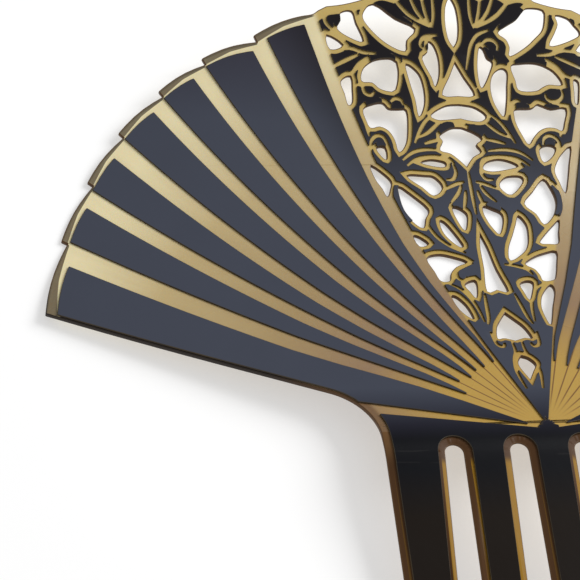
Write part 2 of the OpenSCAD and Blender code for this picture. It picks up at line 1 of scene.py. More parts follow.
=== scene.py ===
"""Looks of a fan-shaped back comb: clear amber sheet under a carved black facing.

The comb is cut straight through a bent two-ply sheet. Each piece takes its outline from
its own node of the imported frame, is drawn again flat with softened edges, and is bent
over the same smooth curve as the sheet.
"""

import logging
import math
from dataclasses import dataclass
from enum import Enum
from typing import ClassVar, NamedTuple

import bmesh
import bpy
from mathutils import Matrix, Vector


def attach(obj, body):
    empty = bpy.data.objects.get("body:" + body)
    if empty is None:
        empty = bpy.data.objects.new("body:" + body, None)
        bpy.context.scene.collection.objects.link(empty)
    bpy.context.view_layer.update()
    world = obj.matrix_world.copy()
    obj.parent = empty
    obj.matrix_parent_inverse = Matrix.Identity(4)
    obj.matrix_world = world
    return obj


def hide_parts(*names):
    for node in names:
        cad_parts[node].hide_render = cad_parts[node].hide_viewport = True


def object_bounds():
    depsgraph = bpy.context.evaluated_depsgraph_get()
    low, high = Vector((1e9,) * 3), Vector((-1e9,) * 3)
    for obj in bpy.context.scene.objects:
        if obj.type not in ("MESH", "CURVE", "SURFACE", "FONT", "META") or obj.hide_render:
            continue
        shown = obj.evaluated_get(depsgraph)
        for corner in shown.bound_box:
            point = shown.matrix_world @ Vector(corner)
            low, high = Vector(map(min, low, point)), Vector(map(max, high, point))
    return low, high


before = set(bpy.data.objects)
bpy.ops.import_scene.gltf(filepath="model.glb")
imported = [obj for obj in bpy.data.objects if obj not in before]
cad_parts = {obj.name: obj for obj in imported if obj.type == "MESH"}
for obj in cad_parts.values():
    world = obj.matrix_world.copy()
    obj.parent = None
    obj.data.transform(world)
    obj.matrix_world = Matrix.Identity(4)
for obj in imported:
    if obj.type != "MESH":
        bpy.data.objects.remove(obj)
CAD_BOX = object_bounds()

log = logging.getLogger("comb")

MM = 0.001
IMAGE_PX = 580
SENSOR_MM = 36.0

Loop = list[Vector]
Span = tuple[float, float]
Colour = tuple[float, float, float]
Tint = Colour | bpy.types.NodeSocket


class Part(Enum):
    """Which stretch of a plate a face belongs to, as its material slot."""

    FACE = 0
    RIM = 1
    WALL = 2
    BEVEL = 3


# The bent sheet


@dataclass(frozen=True)
class SheetBend:
    """Side view of the sheet: across the comb it is straight, up the comb it bends.

    Lengths are in metres. Heights grow out of the black face, and w grows up the comb
    from the focus, where the blades meet.
    """

    flat_h: float = 22 * MM
    heading_r: float = 160 * MM
    base_bend: float = math.radians(22)
    base_bend_r: float = 20 * MM
    bend_drop: float = 4 * MM
    tooth_l: float = 72 * MM
    black_t: float = 0.4 * MM
    glue_t: float = 0.02 * MM
    amber_t: float = 1 * MM
    base_cut: float = 0.9 * MM
    base_cuts: int = 12
    base_cuts_down: float = 9 * MM
    heading_cut: float = 2.4 * MM
    heading_cuts: int = 41

    @property
    def sheet_t(self) -> float:
        """Thickness of both plies and the glue between them."""
        return self.black_t + self.glue_t + self.amber_t

    @property
    def bend_start(self) -> float:
        """Where the flat stretch ends and the bend into the teeth starts."""
        return self.base_bend_r * math.tan(self.base_bend / 2) - self.bend_drop

    def height(self, w: float, depth: float) -> float:
        """Gives the height of the surface that lies a depth below the black face.

        Args:
            w: Distance up the comb from the focus.
            depth: Depth below the face, square to it.

        Returns:
            The height over the flat stretch's face.
        """
        if w > self.flat_h:
            r = self.heading_r + depth
            return self.heading_r - math.sqrt(r * r - (w - self.flat_h) ** 2)
        if w > self.bend_start:
            return -depth
        r = self.base_bend_r - depth
        end = self.bend_start - r * math.sin(self.base_bend)
        if w > end:
            return math.sqrt(r * r - (w - self.bend_start) ** 2) - self.base_bend_r
        top = r * math.cos(self.base_bend) - self.base_bend_r
        return top + (w - end) * math.tan(self.base_bend)

    def slope(self, w: float) -> float:
        """Gives the angle at which the face rises up the comb."""
        if w > self.flat_h:
            return math.asin((w - self.flat_h) / self.heading_r)
        if w > self.bend_start:
            return 0.0
        return min(self.base_bend, math.asin(min(1.0, (self.bend_start - w) / self.base_bend_r)))

    def bent(self, place: Vector) -> Vector:
        """Moves a point of the flat sheet to its place on the bent one.

        Args:
            place: Across, up the comb, and depth below the face.

        Returns:
            Across, up the comb, and height, with the depth taken square to the face.
        """
        slope = self.slope(place.y)
        up = place.y + place.z * math.sin(slope)
        return Vector((place.x, up, self.height(place.y, 0) - place.z * math.cos(slope)))

    def tip_back(self) -> tuple[float, float]:
        """Gives w and height of the tooth tips' back corner, which touches the table."""
        return -self.tooth_l, self.height(-self.tooth_l, self.sheet_t)

    def lie(self) -> float:
        """Gives the angle by which the comb leans when it lies on its back."""
        tip_w, tip_h = self.tip_back()
        run, rise = self.flat_h - tip_w, self.heading_r - tip_h
        back_r = self.heading_r + self.sheet_t
        return math.atan2(rise, run) - math.asin(back_r / math.hypot(run, rise))

    def cuts(self) -> list[float]:
        """Lists where a flat plate is cut across, so that it can bend smoothly."""
        lowest = self.bend_start - self.base_cuts_down
        fine = [lowest + i * self.base_cut for i in range(self.base_cuts)]
        coarse = [self.flat_h + i * self.heading_cut for i in range(self.heading_cuts)]
        return fine + coarse


class Laying:
    """Turns the pattern's axes (across, up the comb, out of the face) into the frame's."""

    def __init__(self, bend: SheetBend, lowest_y: float) -> None:
        """Fixes the turn and the shift.

        Args:
            bend: The sheet's side view.
            lowest_y: Where the tooth tips end in the frame.
        """
        self.turn = Matrix.Rotation(-bend.lie(), 4, "X")
        tip = self.turn @ Vector((0, *bend.tip_back()))
        self.matrix = Matrix.Translation((0, lowest_y - tip.y, -tip.z)) @ self.turn
        self.back = self.matrix.inverted()


# The outlines of the nodes


class Outline:
    """Closed loops of one node's flat pattern, read from the top of its solid."""

    weld: float = 0.002 * MM
    straight: float = math.radians(1.0)
    corner: float = math.radians(33)
    long_side: float = 6 * MM
    short_side: float = 0.35 * MM
    top_normal: float = 0.5
    no_length: float = 1e-9

    def __init__(self, node: bpy.types.Object, laying: Laying) -> None:
        """Reads the loops.

        Args:
            node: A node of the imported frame.
            laying: How the comb lies in the frame.
        """
        bm = bmesh.new()
        bm.from_mesh(node.data)
        bmesh.ops.transform(bm, matrix=laying.back @ node.matrix_world, verts=bm.verts)
        bmesh.ops.remove_doubles(bm, verts=bm.verts, dist=self.weld)
        bm.normal_update()
        tops = [f for f in bm.faces if f.normal.z > self.top_normal]
        self.loops = [self.thinned(loop) for loop in self.chains(tops)]
        self.loops = [loop for loop in self.loops if len(loop) > 2]
        bm.free()

    @staticmethod
    def chains(tops: list[bmesh.types.BMFace]) -> list[Loop]:
        """Joins the edges round a set of faces into closed loops.

        Args:
            tops: The faces of the plate's upper side.

        Returns:
            The loops, with material on their left.
        """
        upper = set(tops)
        following: dict[bmesh.types.BMVert, list[bmesh.types.BMVert]] = {}
        for face in tops:
            for corner in face.loops:
                if sum(1 for f in corner.edge.link_faces if f in upper) == 1:
                    following.setdefault(corner.vert, []).append(corner.link_loop_next.vert)
        loops: list[Loop] = []
        while following:
            start = next(iter(following))
            loop, vert = [], start
            while vert in following:
                loop.append(Vector((vert.co.x, vert.co.y)))
                ways = following[vert]
                step = ways.pop()
                if not ways:
                    del following[vert]
                vert = step
            loops.append(loop)
        return loops

    def thinned(self, loop: Loop) -> Loop:
        """Drops points that lie on a straight run.

        Args:
            loop: A closed loop.

        Returns:
            The same loop with its corners only.
        """
        kept = [p for i, p in enumerate(loop) if (p - loop[i - 1]).length > self.weld]
        out: Loop = []
        for i, point in enumerate(kept):
            before = point - (out[-1] if out else kept[i - 1])
            after = kept[(i + 1) % len(kept)] - point
            if min(before.length, after.length) < self.no_length:
                continue
            if abs(before.angle_signed(after)) > self.straight:
                out.append(point)
        return out

    def smoothed(self, steps: int) -> list[Loop]:
        """Rounds the curved runs of the loops and keeps their corners and long sides.

        Args:
            steps: Pieces into which each short side of a curved run is split.

        Returns:
            New loops.
        """
        return [self.smooth_loop(loop, steps) for loop in self.loops]

    def smooth_loop(self, loop: Loop, steps: int) -> Loop:
        """Rounds one loop with a curve through its points.

        Args:
            loop: A closed loop.
            steps: Pieces of each side.

        Returns:
            The denser loop.
        """
        n = len(loop)
        sides = [loop[(i + 1) % n] - loop[i] for i in range(n)]
        bends = [abs(sides[i - 1].angle_signed(sides[i])) > self.corner for i in range(n)]
        out: Loop = []
        for i in range(n):
            a, b, c, d = loop[i - 1], loop[i], loop[(i + 1) % n], loop[(i + 2) % n]
            out.append(b)
            if not self.short_side <= sides[i].length <= self.long_side:
                continue
            if bends[i] and bends[(i + 1) % n]:
                continue
            if bends[i]:
                a = b - (c - b)
            if bends[(i + 1) % n]:
                d = c + (c - b)
            reach = sides[i].length
            start = (c - a).normalized() * reach
            end = (d - b).normalized() * reach
            for k in range(1, steps):
                t = k / steps
                out.append(
                    (2 * t**3 - 3 * t**2 + 1) * b
                    + (t**3 - 2 * t**2 + t) * start
                    + (3 * t**2 - 2 * t**3) * c
                    + (t**3 - t**2) * end
                )
        return out


# The plates


class Ring(NamedTuple):
    """One ring of a worn edge: its width, and its share of the depth at its inner side."""

    width: float
    share: float


@dataclass
class Plate:
    """One ply of the comb, cut to a pattern, with softened edges, bent and laid."""

    name: str
    nodes: list[str]
    slot: str
    top: float
    bottom: float
    edge_r: float
    bend: SheetBend
    laying: Laying
    edge_steps: int = 2
    curve_steps: int = 3
    tooth_bevel: float = 0.0
    flat_normal: ClassVar[float] = 0.995
    wall_normal: ClassVar[float] = 0.1
    sharp: ClassVar[float] = math.radians(50)
    cut_dist: ClassVar[float] = 1e-7
    bevel_start: ClassVar[float] = 1.7 * MM
    bevel_ramp: ClassVar[float] = 2.5 * MM
    bevel_rings: ClassVar[tuple[Ring, ...]] = (Ring(0.9 * MM, 0.35), Ring(1.3 * MM, 0.0))

    def build(self) -> bpy.types.Object:
        """Makes the finished plate.

        Returns:
            The new object, which rides on the comb; its nodes are hidden.
        """
        mesh = self.flat_plate()
        bm = bmesh.new()
        bm.from_mesh(mesh)
        bpy.data.meshes.remove(mesh)
        bmesh.ops.remove_doubles(bm, verts=bm.verts, dist=Outline.weld / 2)
        self.sort_faces(bm)
        if self.tooth_bevel:
            self.soften_teeth(bm)
        self.cut_across(bm)
        self.bend_over(bm)
        bmesh.ops.transform(bm, matrix=self.laying.matrix, verts=bm.verts)
        out = bpy.data.meshes.new(self.name)
        bm.to_mesh(out)
        bm.free()
        piece = bpy.data.objects.new(self.name, out)
        bpy.context.collection.objects.link(piece)
        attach(piece, "root")
        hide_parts(*self.nodes)
        log.info("%s: %d faces", self.name, len(out.polygons))
        return piece

    def flat_plate(self) -> bpy.types.Mesh:
        """Draws the pattern as a filled flat curve with rounded edges.

        Returns:
            The flat plate's mesh, centred on its own thickness.
        """
        half = (self.bottom - self.top) / 2
        curve = bpy.data.curves.new(self.name + "_pattern", "CURVE")
        curve.dimensions = "2D"
        curve.fill_mode = "BOTH"
        curve.extrude = half - self.edge_r
        curve.bevel_depth = self.edge_r
        curve.bevel_resolution = self.edge_steps
        curve.offset = -self.edge_r
        for node in self.nodes:
            outline = Outline(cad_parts[node], self.laying)
            for loop in outline.smoothed(self.curve_steps):
                spline = curve.splines.new("POLY")
                spline.points.add(len(loop) - 1)
                for place, point in zip(spline.points, loop):
                    place.co = (point.x, point.y, 0, 1)
                spline.use_cyclic_u = True
        drawn = bpy.data.objects.new(curve.name, curve)
        bpy.context.collection.objects.link(drawn)
        bpy.context.view_layer.update()
        view = drawn.evaluated_get(bpy.context.evaluated_depsgraph_get())
        mesh = bpy.data.meshes.new_from_object(view)
        bpy.data.objects.remove(drawn)
        bpy.data.curves.remove(curve)
        return mesh

    @classmethod
    def sort_faces(cls, bm: bmesh.types.BMesh) -> None:
        """Gives faces their part of the plate and marks where the shading breaks.

        Args:
            bm: The flat plate.
        """
        bmesh.ops.recalc_face_normals(bm, faces=bm.faces)
        for face in bm.faces:
            face.smooth = True
            upright = abs(face.normal.z)
            if upright > cls.flat_normal:
                face.material_index = Part.FACE.value
            else:
                face.material_index = (Part.WALL if upright < cls.wall_normal else Part.RIM).value
        for edge in bm.edges:
            if len(edge.link_faces) == 2:
                kinds = {f.material_index == Part.FACE.value for f in edge.link_faces}
                edge.smooth = len(kinds) == 1 and edge.calc_face_angle(0) < cls.sharp

    def soften_teeth(self, bm: bmesh.types.BMesh) -> None:
        """Wears the long edges of the teeth down to a soft bevel.

        Args:
            bm: The flat plate.
        """
        level = self.bevel_start - sum(ring.width for ring in self.bevel_rings)
        wear = bm.verts.layers.float.new("wear")
        self.cut_at(bm, self.bevel_start)
        self.ring_teeth(bm, wear)
        for w in (level, level - self.bevel_ramp / 2, level - self.bevel_ramp):
            self.cut_at(bm, w)
        for vert in bm.verts:
            ramp = min(1.0, max(0.0, (level - vert.co.y) / self.bevel_ramp))
            vert.co.z -= vert[wear] * ramp * self.tooth_bevel
        for face in bm.faces:
            if face.material_index == Part.BEVEL.value:
                face.smooth = True
                for edge in face.edges:
                    edge.smooth = True
                if face.calc_center_median().y > level:
                    face.material_index = Part.FACE.value
        bm.verts.layers.float.remove(wear)

    def ring_teeth(self, bm: bmesh.types.BMesh, wear: bmesh.types.BMLayerItem) -> None:
        """Insets the teeth's upper faces ring by ring and notes how far each point wears down.

        Args:
            bm: The flat plate.
            wear: The layer that keeps each point's share of the bevel's depth.
        """
        flat = self.flat_normal
        tops = [
            f for f in bm.faces if f.normal.z > flat and f.calc_center_median().y < self.bevel_start
        ]
        worn: set[bmesh.types.BMVert] = set()
        for width, share in self.bevel_rings:
            ring = bmesh.ops.inset_region(
                bm, faces=tops, thickness=width, depth=0, use_boundary=True, use_even_offset=False
            )["faces"]
            ringed = set(ring)
            for face in ring:
                face.material_index = Part.BEVEL.value
                for vert in face.verts:
                    inner = all(f in ringed or f.normal.z > flat for f in vert.link_faces)
                    if inner and vert not in worn:
                        vert[wear] = share
                        worn.add(vert)
        sides = {Part.RIM.value, Part.WALL.value}
        for vert in bm.verts:
            if vert.co.z > 0 and any(f.material_index in sides for f in vert.link_faces):
                vert[wear] = 1.0

    @classmethod
    def cut_at(cls, bm: bmesh.types.BMesh, w: float) -> None:
        """Cuts all faces that cross a line over the plate.

        Args:
            bm: The flat plate.
            w: Where the line is, up the comb.
        """
        parts: dict[bmesh.types.BMFace | bmesh.types.BMEdge | bmesh.types.BMVert, None] = {}
        for face in bm.faces:
            heights = [v.co.y for v in face.verts]
            if min(heights) < w < max(heights):
                parts.update(dict.fromkeys((face, *face.edges, *face.verts)))
        bmesh.ops.bisect_plane(
            bm, geom=list(parts), dist=cls.cut_dist, plane_co=(0, w, 0), plane_no=(0, 1, 0)
        )

    def cut_across(self, bm: bmesh.types.BMesh) -> None:
        """Cuts the plate in strips where it will bend.

        Args:
            bm: The flat plate.
        """
        low = min(v.co.y for v in bm.verts)
        high = max(v.co.y for v in bm.verts)
        for w in self.bend.cuts():
            if low < w < high:
                self.cut_at(bm, w)

    def bend_over(self, bm: bmesh.types.BMesh) -> None:
        """Moves the flat plate's points to their height on the bent sheet.

        Args:
            bm: The flat plate.
        """
        middle = (self.top + self.bottom) / 2
        for vert in bm.verts:
            vert.co = self.bend.bent(Vector((vert.co.x, vert.co.y, middle - vert.co.z)))


# The materials


class Value:
    """A socket's value in a material, with the sums that are used on it."""

    def __init__(self, tree: "Shader", socket: bpy.types.NodeSocket) -> None:
        """Wraps an output socket.

        Args:
            tree: The material that the socket is in.
            socket: The output.
        """
        self.tree = tree
        self.socket = socket

    def math(self, operation: str, *others: "Value | float", swap: bool = False) -> "Value":
        """Adds one Math node.

        Args:
            operation: The node's operation.
            others: The other operands.
            swap: Whether this value is the second operand.

        Returns:
            The result.
        """
        ins = [self, *others]
        if swap:
            ins.reverse()
        node = self.tree.node("ShaderNodeMath", {"operation": operation}, dict(enumerate(ins)))
        return Value(self.tree, node.outputs[0])

    def __add__(self, other: "Value | float") -> "Value":
        """Adds."""
        return self.math("ADD", other)

    def __sub__(self, other: "Value | float") -> "Value":
        """Subtracts."""
        return self.math("SUBTRACT", other)

    def __mul__(self, other: "Value | float") -> "Value":
        """Multiplies."""
        return self.math("MULTIPLY", other)

    def __truediv__(self, other: "Value | float") -> "Value":
        """Divides."""
        return self.math("DIVIDE", other)

    def __rsub__(self, other: float) -> "Value":
        """Subtracts this from a number."""
        return self.math("SUBTRACT", other, swap=True)

    __radd__ = __add__
    __rmul__ = __mul__

    def step(self, low: float, high: float) -> "Value":
        """Gives a smooth step that rises from 0 at low to 1 at high.

        Args:
            low: Where it starts.
            high: Where it ends; below low, the step falls.

        Returns:
            The step.
        """
        node = self.tree.node(
            "ShaderNodeMapRange",
            {"interpolation_type": "SMOOTHSTEP"},
            {"Value": self, "From Min": low, "From Max": high, "To Min": 0.0, "To Max": 1.0},
        )
        return Value(self.tree, node.outputs[0])

    def either(self, other: "Value") -> "Value":
        """Gives the larger of two values."""
        return self.math("MAXIMUM", other)

    def size(self) -> "Value":
        """Gives the value without its sign."""
        return self.math("ABSOLUTE")


class Shader:
    """Builds one material's nodes."""

    def __init__(self, name: str) -> None:
        """Starts an empty material.

        Args:
            name: The material's name.
        """
        self.material = bpy.data.materials.new(name)
        self.material.use_nodes = True
        self.tree = self.material.node_tree
        self.tree.nodes.clear()

    def node(self, kind: str, settings: dict, inputs: dict) -> bpy.types.Node:
        """Adds any node.

        Args:
            kind: The node's type.
            settings: Its properties, which are set first.
            inputs: Values, wrapped values or sockets, by input name or number.

        Returns:
            The node.
        """
        made = self.tree.nodes.new(kind)
        for key, value in settings.items():
            if key == "stops":
                self.set_stops(made, value)
            else:
                setattr(made, key, value)
        for key, value in inputs.items():
            source = value.socket if isinstance(value, Value) else value
            if isinstance(source, bpy.types.NodeSocket):
                self.tree.links.new(source, made.inputs[key])
            else:
                made.inputs[key].default_value = value
        return made

    @staticmethod
    def set_stops(ramp: bpy.types.Node, stops: list[tuple[float, Colour]]) -> None:
        """Fills a colour ramp.

        Args:
            ramp: The ramp node.
            stops: Places and colours.
        """
        row = ramp.color_ramp
        while len(row.elements) < len(stops):
            row.elements.new(0.5)
        for element, (place, colour) in zip(row.elements, stops):
            element.position = place
            element.color = (*colour, 1)

    def ramp(self, value: Value, stops: list[tuple[float, Colour]]) -> bpy.types.NodeSocket:
        """Turns a value into a colour along a row of stops."""
        return self.node("ShaderNodeValToRGB", {"stops": stops}, {"Fac": value}).outputs["Color"]

    def mix(self, share: Value, first: Tint, second: Tint) -> bpy.types.NodeSocket:
        """Mixes two colours.

        Args:
            share: Share of the second one.
            first: A colour or a socket.
            second: A colour or a socket.

        Returns:
            The mixed colour.
        """
        inputs = {0: share}
        for place, colour in ((6, first), (7, second)):
            inputs[place] = (*colour, 1) if isinstance(colour, tuple) else colour
        return self.node("ShaderNodeMix", {"data_type": "RGBA"}, inputs).outputs[2]

    def pattern_place(self, laying: Laying) -> tuple[Value, Value]:
        """Gives a point's place on the flat pattern: across, and up the comb.

        Args:
            laying: How the comb lies in the frame.

        Returns:
            Both distances from the focus, in millimetres.
        """
        place = self.node("ShaderNodeTexCoord", {}, {}).outputs["Object"]
        apart = self.node("ShaderNodeSeparateXYZ", {}, {0: place})
        x, y, z = (Value(self, out) for out in apart.outputs)
        row = laying.back.row[1]
        up = y * (row[1] / MM) + z * (row[2] / MM) + row[3] / MM
        return x * (1 / MM), up

    @staticmethod
    def pattern_angle(across: Value, up: Value) -> Value:
        """Gives the angle between a place and the middle line, in degrees."""
        return across.math("ARCTAN2", up).size() * math.degrees(1)

    def noise(
        self, scale: float, detail: float, stretch: tuple[float, float, float] = (1, 1, 1)
    ) -> Value:
        """Adds noise on Object coordinates.

        Args:
            scale: Its scale, per metre.
            detail: Its detail.
            stretch: A factor for each axis.

        Returns:
            The noise.
        """
        place = self.node("ShaderNodeTexCoord", {}, {}).outputs["Object"]
        mapped = self.node("ShaderNodeMapping", {}, {"Vector": place, "Scale": stretch}).outputs[0]
        noise = {"Vector": mapped, "Scale": scale, "Detail": detail}
        return Value(self, self.node("ShaderNodeTexNoise", {}, noise).outputs[0])

    def bump(self, height: Value, strength: float, distance: float) -> bpy.types.NodeSocket:
        """Adds a Bump node."""
        inputs = {"Height": height, "Strength": strength, "Distance": distance}
        return self.node("ShaderNodeBump", {}, inputs).outputs[0]

    def finish(self, inputs: dict) -> bpy.types.Material:
        """Closes the material with one Principled shader.

        Args:
            inputs: The shader's inputs by name.

        Returns:
            The material.
        """
        body = self.node("ShaderNodeBsdfPrincipled", {}, inputs)
        self.node("ShaderNodeOutputMaterial", {}, {"Surface": body.outputs[0]})
        return self.material


def srgb(red: int, green: int, blue: int) -> Colour:
    """Turns a colour as seen on a screen into the linear one that shaders use."""

    def channel(value: int) -> float:
        """Turns one channel."""
        share = value / 255
        return share / 12.92 if share <= 0.04045 else ((share + 0.055) / 1.055) ** 2.4

    return channel(red), channel(green), channel(blue)


class Corner(NamedTuple):
    """One corner of the stepped edge: its angle from the middle line, and its radius."""

    angle: float
    radius: float


@dataclass(frozen=True)
class Rim:
    """The comb's edge as the shaders need it, in millimetres and degrees.

    The stepped edge runs from one corner to the next and drops a step at each. The wing's
    lower edge is a straight line from its corner to the curve into the base.
    """

    corners: tuple[Corner, ...] = (
        Corner(17.4, 116.8),
        Corner(25.1, 116.3),
        Corner(31.9, 118.1),
        Corner(38.3, 118.4),
        Corner(45.2, 118.2),
        Corner(52.3, 116.8),
        Corner(60.6, 115.0),
        Corner(71.0, 112.6),
    )
    step: float = 1.5
    bulge: float = 0.5
    low: float = 105.0
    span: float = 20.0
    bevel_w: float = 2.3
    least_w: float = 0.3
    blade_share: float = 0.5
    narrow_share: float = 0.08
    stop_inset: float = 0.01
    corner_off: float = 106.4
    corner_up: float = 36.6
    edge_angle: float = math.radians(22.5)
    edge_band: Span = (0.9, 0.5)
    curve_off: float = 52.5
    curve_up: float = -0.85
    curve_r: float = 14.0
    curve_band: Span = (2.6, 1.2)
    curve_top: Span = (16.0, 8.0)
    blend: float = 4.0

    def stops(self) -> list[tuple[float, Colour]]:
        """Lists the edge by angle.

        Returns:
            Places over the fan, with the edge's radius as red and the bevel's width as green.
        """
        first, last = self.corners[0].angle, self.corners[-1].angle
        tip = (self.stop_inset, 0.5, 1 - self.stop_inset)
        out: list[tuple[float, Colour]] = []
        for n, (inner, outer) in enumerate(zip(self.corners, self.corners[1:])):
            widest = 1.0 if n == len(self.corners) - 2 else self.blade_share
            start = (inner.radius - self.step - self.low) / self.span
            end = (outer.radius - self.low) / self.span
            middle = (start + end) / 2 + self.bulge / self.span
            for share, red in zip(tip, (start, middle, end)):
                angle = inner.angle + (outer.angle - inner.angle) * share
                green = widest * (self.narrow_share + (1 - self.narrow_share) * share)
                out.append(((angle - first) / (last - first), (red, green, 0.0)))
        return out


@dataclass(frozen=True)
class AmberFinish:
    """Polished amber celluloid: straw at the blade tips, honey brown at the focus.

    Pairs of numbers say where a change starts and ends, in millimetres or degrees.
    """

    focus: Colour = srgb(176, 142, 66)
    middle: Colour = srgb(140, 113, 84)
    blade: Colour = srgb(158, 134, 92)
    pale: Colour = srgb(184, 163, 116)
    tip: Colour = srgb(224, 211, 168)
    line: Colour = srgb(74, 52, 34)
    fine_line: Colour = srgb(116, 82, 40)
    # Painted shade of the tips' rounded edge, and its painted highlight.
    olive: Colour = srgb(116, 109, 86)
    tip_edge_shade: Colour = srgb(84, 76, 56)
    glint: Colour = srgb(226, 216, 172)
    panel: Colour = srgb(186, 157, 74)
    # Painted light and shade for worn edges: honey where an edge faces the lamp, browns where it
    # faces away.
    bevel_lit: Colour = srgb(150, 112, 34)
    bevel_shade: Colour = srgb(78, 54, 34)
    away_side_shade: Colour = srgb(104, 76, 48)
    wall: Colour = srgb(96, 68, 40)
    # Painted shade along the wing's lower edge.
    lower_edge_shade: Colour = srgb(40, 36, 34)
    gloss: float = 0.28
    rim_gloss: float = 0.25
    wall_gloss: float = 0.3
    ior: float = 1.5
    colour_r: float = 120.0
    panel_edge: Span = (17.6, 16.6)
    panel_foot: Span = (20.0, 40.0)
    panel_share: float = 0.85
    streak_share: float = 0.35
    streak_turn: float = 26.0
    streak_run: float = 0.035
    line_deg: tuple[float, ...] = (20.7, 28.9, 35.8, 42.6, 50.5, 58.0)
    line_edge: Span = (0.221, 0.078)
    line_out: Span = (33.0, 22.0)
    line_in: Span = (4.0, 13.0)
    glint_place: float = 1.12
    glint_edge: Span = (0.2, 0.06)
    glint_share: float = 0.7
    olive_edge: Span = (1.06, 0.94)
    brim_edge: Span = (0.5, 0.2)
    brim_share: float = 0.8
    base_lean: float = 0.14
    lean_share: float = 0.6
    lit_edge: Span = (-0.06, 0.12)
    lit_top: Span = (-7.0, -9.0)
    outer_off: Span = (33.0, 35.0)
    outer_up: Span = (-9.0, -3.0)
    wing_angle: Span = (66.0, 70.0)
    wing_off: Span = (44.0, 62.0)
    rim: Rim = Rim()

    def face(self, laying: Laying) -> bpy.types.Material:
        """Makes the material of the ply's two faces.

        Args:
            laying: How the comb lies in the frame.

        Returns:
            The material.
        """
        s = Shader("amber_face")
        across, up = s.pattern_place(laying)
        radius = (across * across + up * up).math("SQRT")
        angle = s.pattern_angle(across, up)
        cloud = s.noise(38, 2)
        run = radius * (1 / self.colour_r) + (cloud - 0.5) * 0.08
        stops = [
            (0.0, self.focus),
            (0.17, self.focus),
            (0.34, self.middle),
            (0.52, self.blade),
            (0.74, self.pale),
            (0.92, self.tip),
        ]
        panel = angle.step(*self.panel_edge) * radius.step(*self.panel_foot)
        colour = s.mix(panel * self.panel_share, s.ramp(run, stops), self.panel)
        streak = (self.streaks(s, across, up, radius) - 0.5).size()
        colour = s.mix(streak * self.streak_share, colour, self.middle)
        lines = self.lines(angle, radius) * radius.step(*self.line_out)
        colour = s.mix(lines * radius.step(*self.line_in), colour, self.fine_line)
        colour = self.wing_edge(s, across.size(), up, colour)
        colour = self.tips(s, angle, radius, colour)
        return s.finish(
            {
                "Base Color": colour,
                "Roughness": cloud * 0.08 + (self.gloss - 0.04),
                "IOR": self.ior,
                "Specular IOR Level": 0.35,
                "Coat Weight": 0.1,
                "Coat Roughness": 0.1,
                "Subsurface Weight": 0.15,
                "Subsurface Radius": (0.004, 0.0025, 0.001),
                "Normal": s.bump(s.noise(700, 2), 0.05, 0.0002),
            }
        )

    def wing_edge(self, s: Shader, off: Value, up: Value, colour: Tint) -> Tint:
        """Paints shade on the amber along the wing's lower edge and round its curve into the base.

        Args:
            s: The material that is being made.
            off: Distance from the middle line, in millimetres.
            up: Distance up the comb, in millimetres.
            colour: The colour so far.

        Returns:
            The new colour.
        """
        rim = self.rim
        slope = math.tan(rim.edge_angle)
        rise = off * slope + (rim.corner_up - rim.corner_off * slope)
        above = (up - rise) * math.cos(rim.edge_angle)
        out = off.step(rim.curve_off - rim.blend, rim.curve_off + rim.blend)
        # Painted shade in a narrow band along the wing's lower edge.
        colour = s.mix(above.step(*rim.edge_band) * out, colour, self.lower_edge_shade)
        # Painted shade in a band round the curve into the base.
        way_off, way_up = off - rim.curve_off, up - rim.curve_up
        away = (way_off * way_off + way_up * way_up).math("SQRT") - rim.curve_r
        band = away.step(*rim.curve_band) * off.step(rim.curve_off, rim.curve_off - rim.blend)
        return s.mix(band * 0.85 * up.step(*rim.curve_top), colour, self.away_side_shade)

    def tips(self, s: Shader, angle: Value, radius: Value, colour: Tint) -> Tint:
        """Paints an olive band along the blades' tips, narrow at the top and wide at the bottom:
        painted shade standing for a worn, rounded edge, with a painted highlight line on its inner
        side and painted shade along the outer edge.

        Args:
            s: The material that is being made.
            angle: Angle from the middle line, in degrees.
            radius: Distance from the focus, in millimetres.
            colour: The colour so far.

        Returns:
            The new colour.
        """
        rim = self.rim
        first, last = rim.corners[0].angle, rim.corners[-1].angle
        row = s.ramp((angle - first) * (1 / (last - first)), rim.stops())
        parts = s.node("ShaderNodeSeparateColor", {}, {0: row}).outputs
        depth = Value(s, parts[0]) * rim.span + (rim.low - radius)
        share = depth / (Value(s, parts[1]) * rim.bevel_w + rim.least_w)
        near = angle.step(first - 0.3, first + 0.3) * radius.step(rim.low - 2, rim.low)
        # Painted highlight along the band's inner side.
        glint = (share - self.glint_place).size().step(*self.glint_edge)
        colour = s.mix(glint * near * self.glint_share, colour, self.glint)
        # Painted shade of the rounded edge.
        olive = s.mix(s.noise(160, 3) * 0.6, self.olive, self.away_side_shade)
        colour = s.mix(share.step(*self.olive_edge) * near, colour, olive)
        # Painted shade along the very edge.
        brim = depth.step(*self.brim_edge) * near
        return s.mix(brim * self.brim_share, colour, self.tip_edge_shade)

    def streaks(self, s: Shader, across: Value, up: Value, radius: Value) -> Value:
        """Adds fine streaks that run out from the focus.

        Args:
            s: The material that is being made.
            across: Distance across the comb, in millimetres.
            up: Distance up the comb, in millimetres.
            radius: Distance from the focus, in millimetres.

        Returns:
            Noise that is drawn out along the blades.
        """
        turn = across.math("ARCTAN2", up) * self.streak_turn
        run = radius * self.streak_run
        place = s.node("ShaderNodeCombineXYZ", {}, {0: turn, 1: run}).outputs[0]
        noise = {"Vector": place, "Scale": 1.0, "Detail": 3.0}
        return Value(s, s.node("ShaderNodeTexNoise", {}, noise).outputs[0])

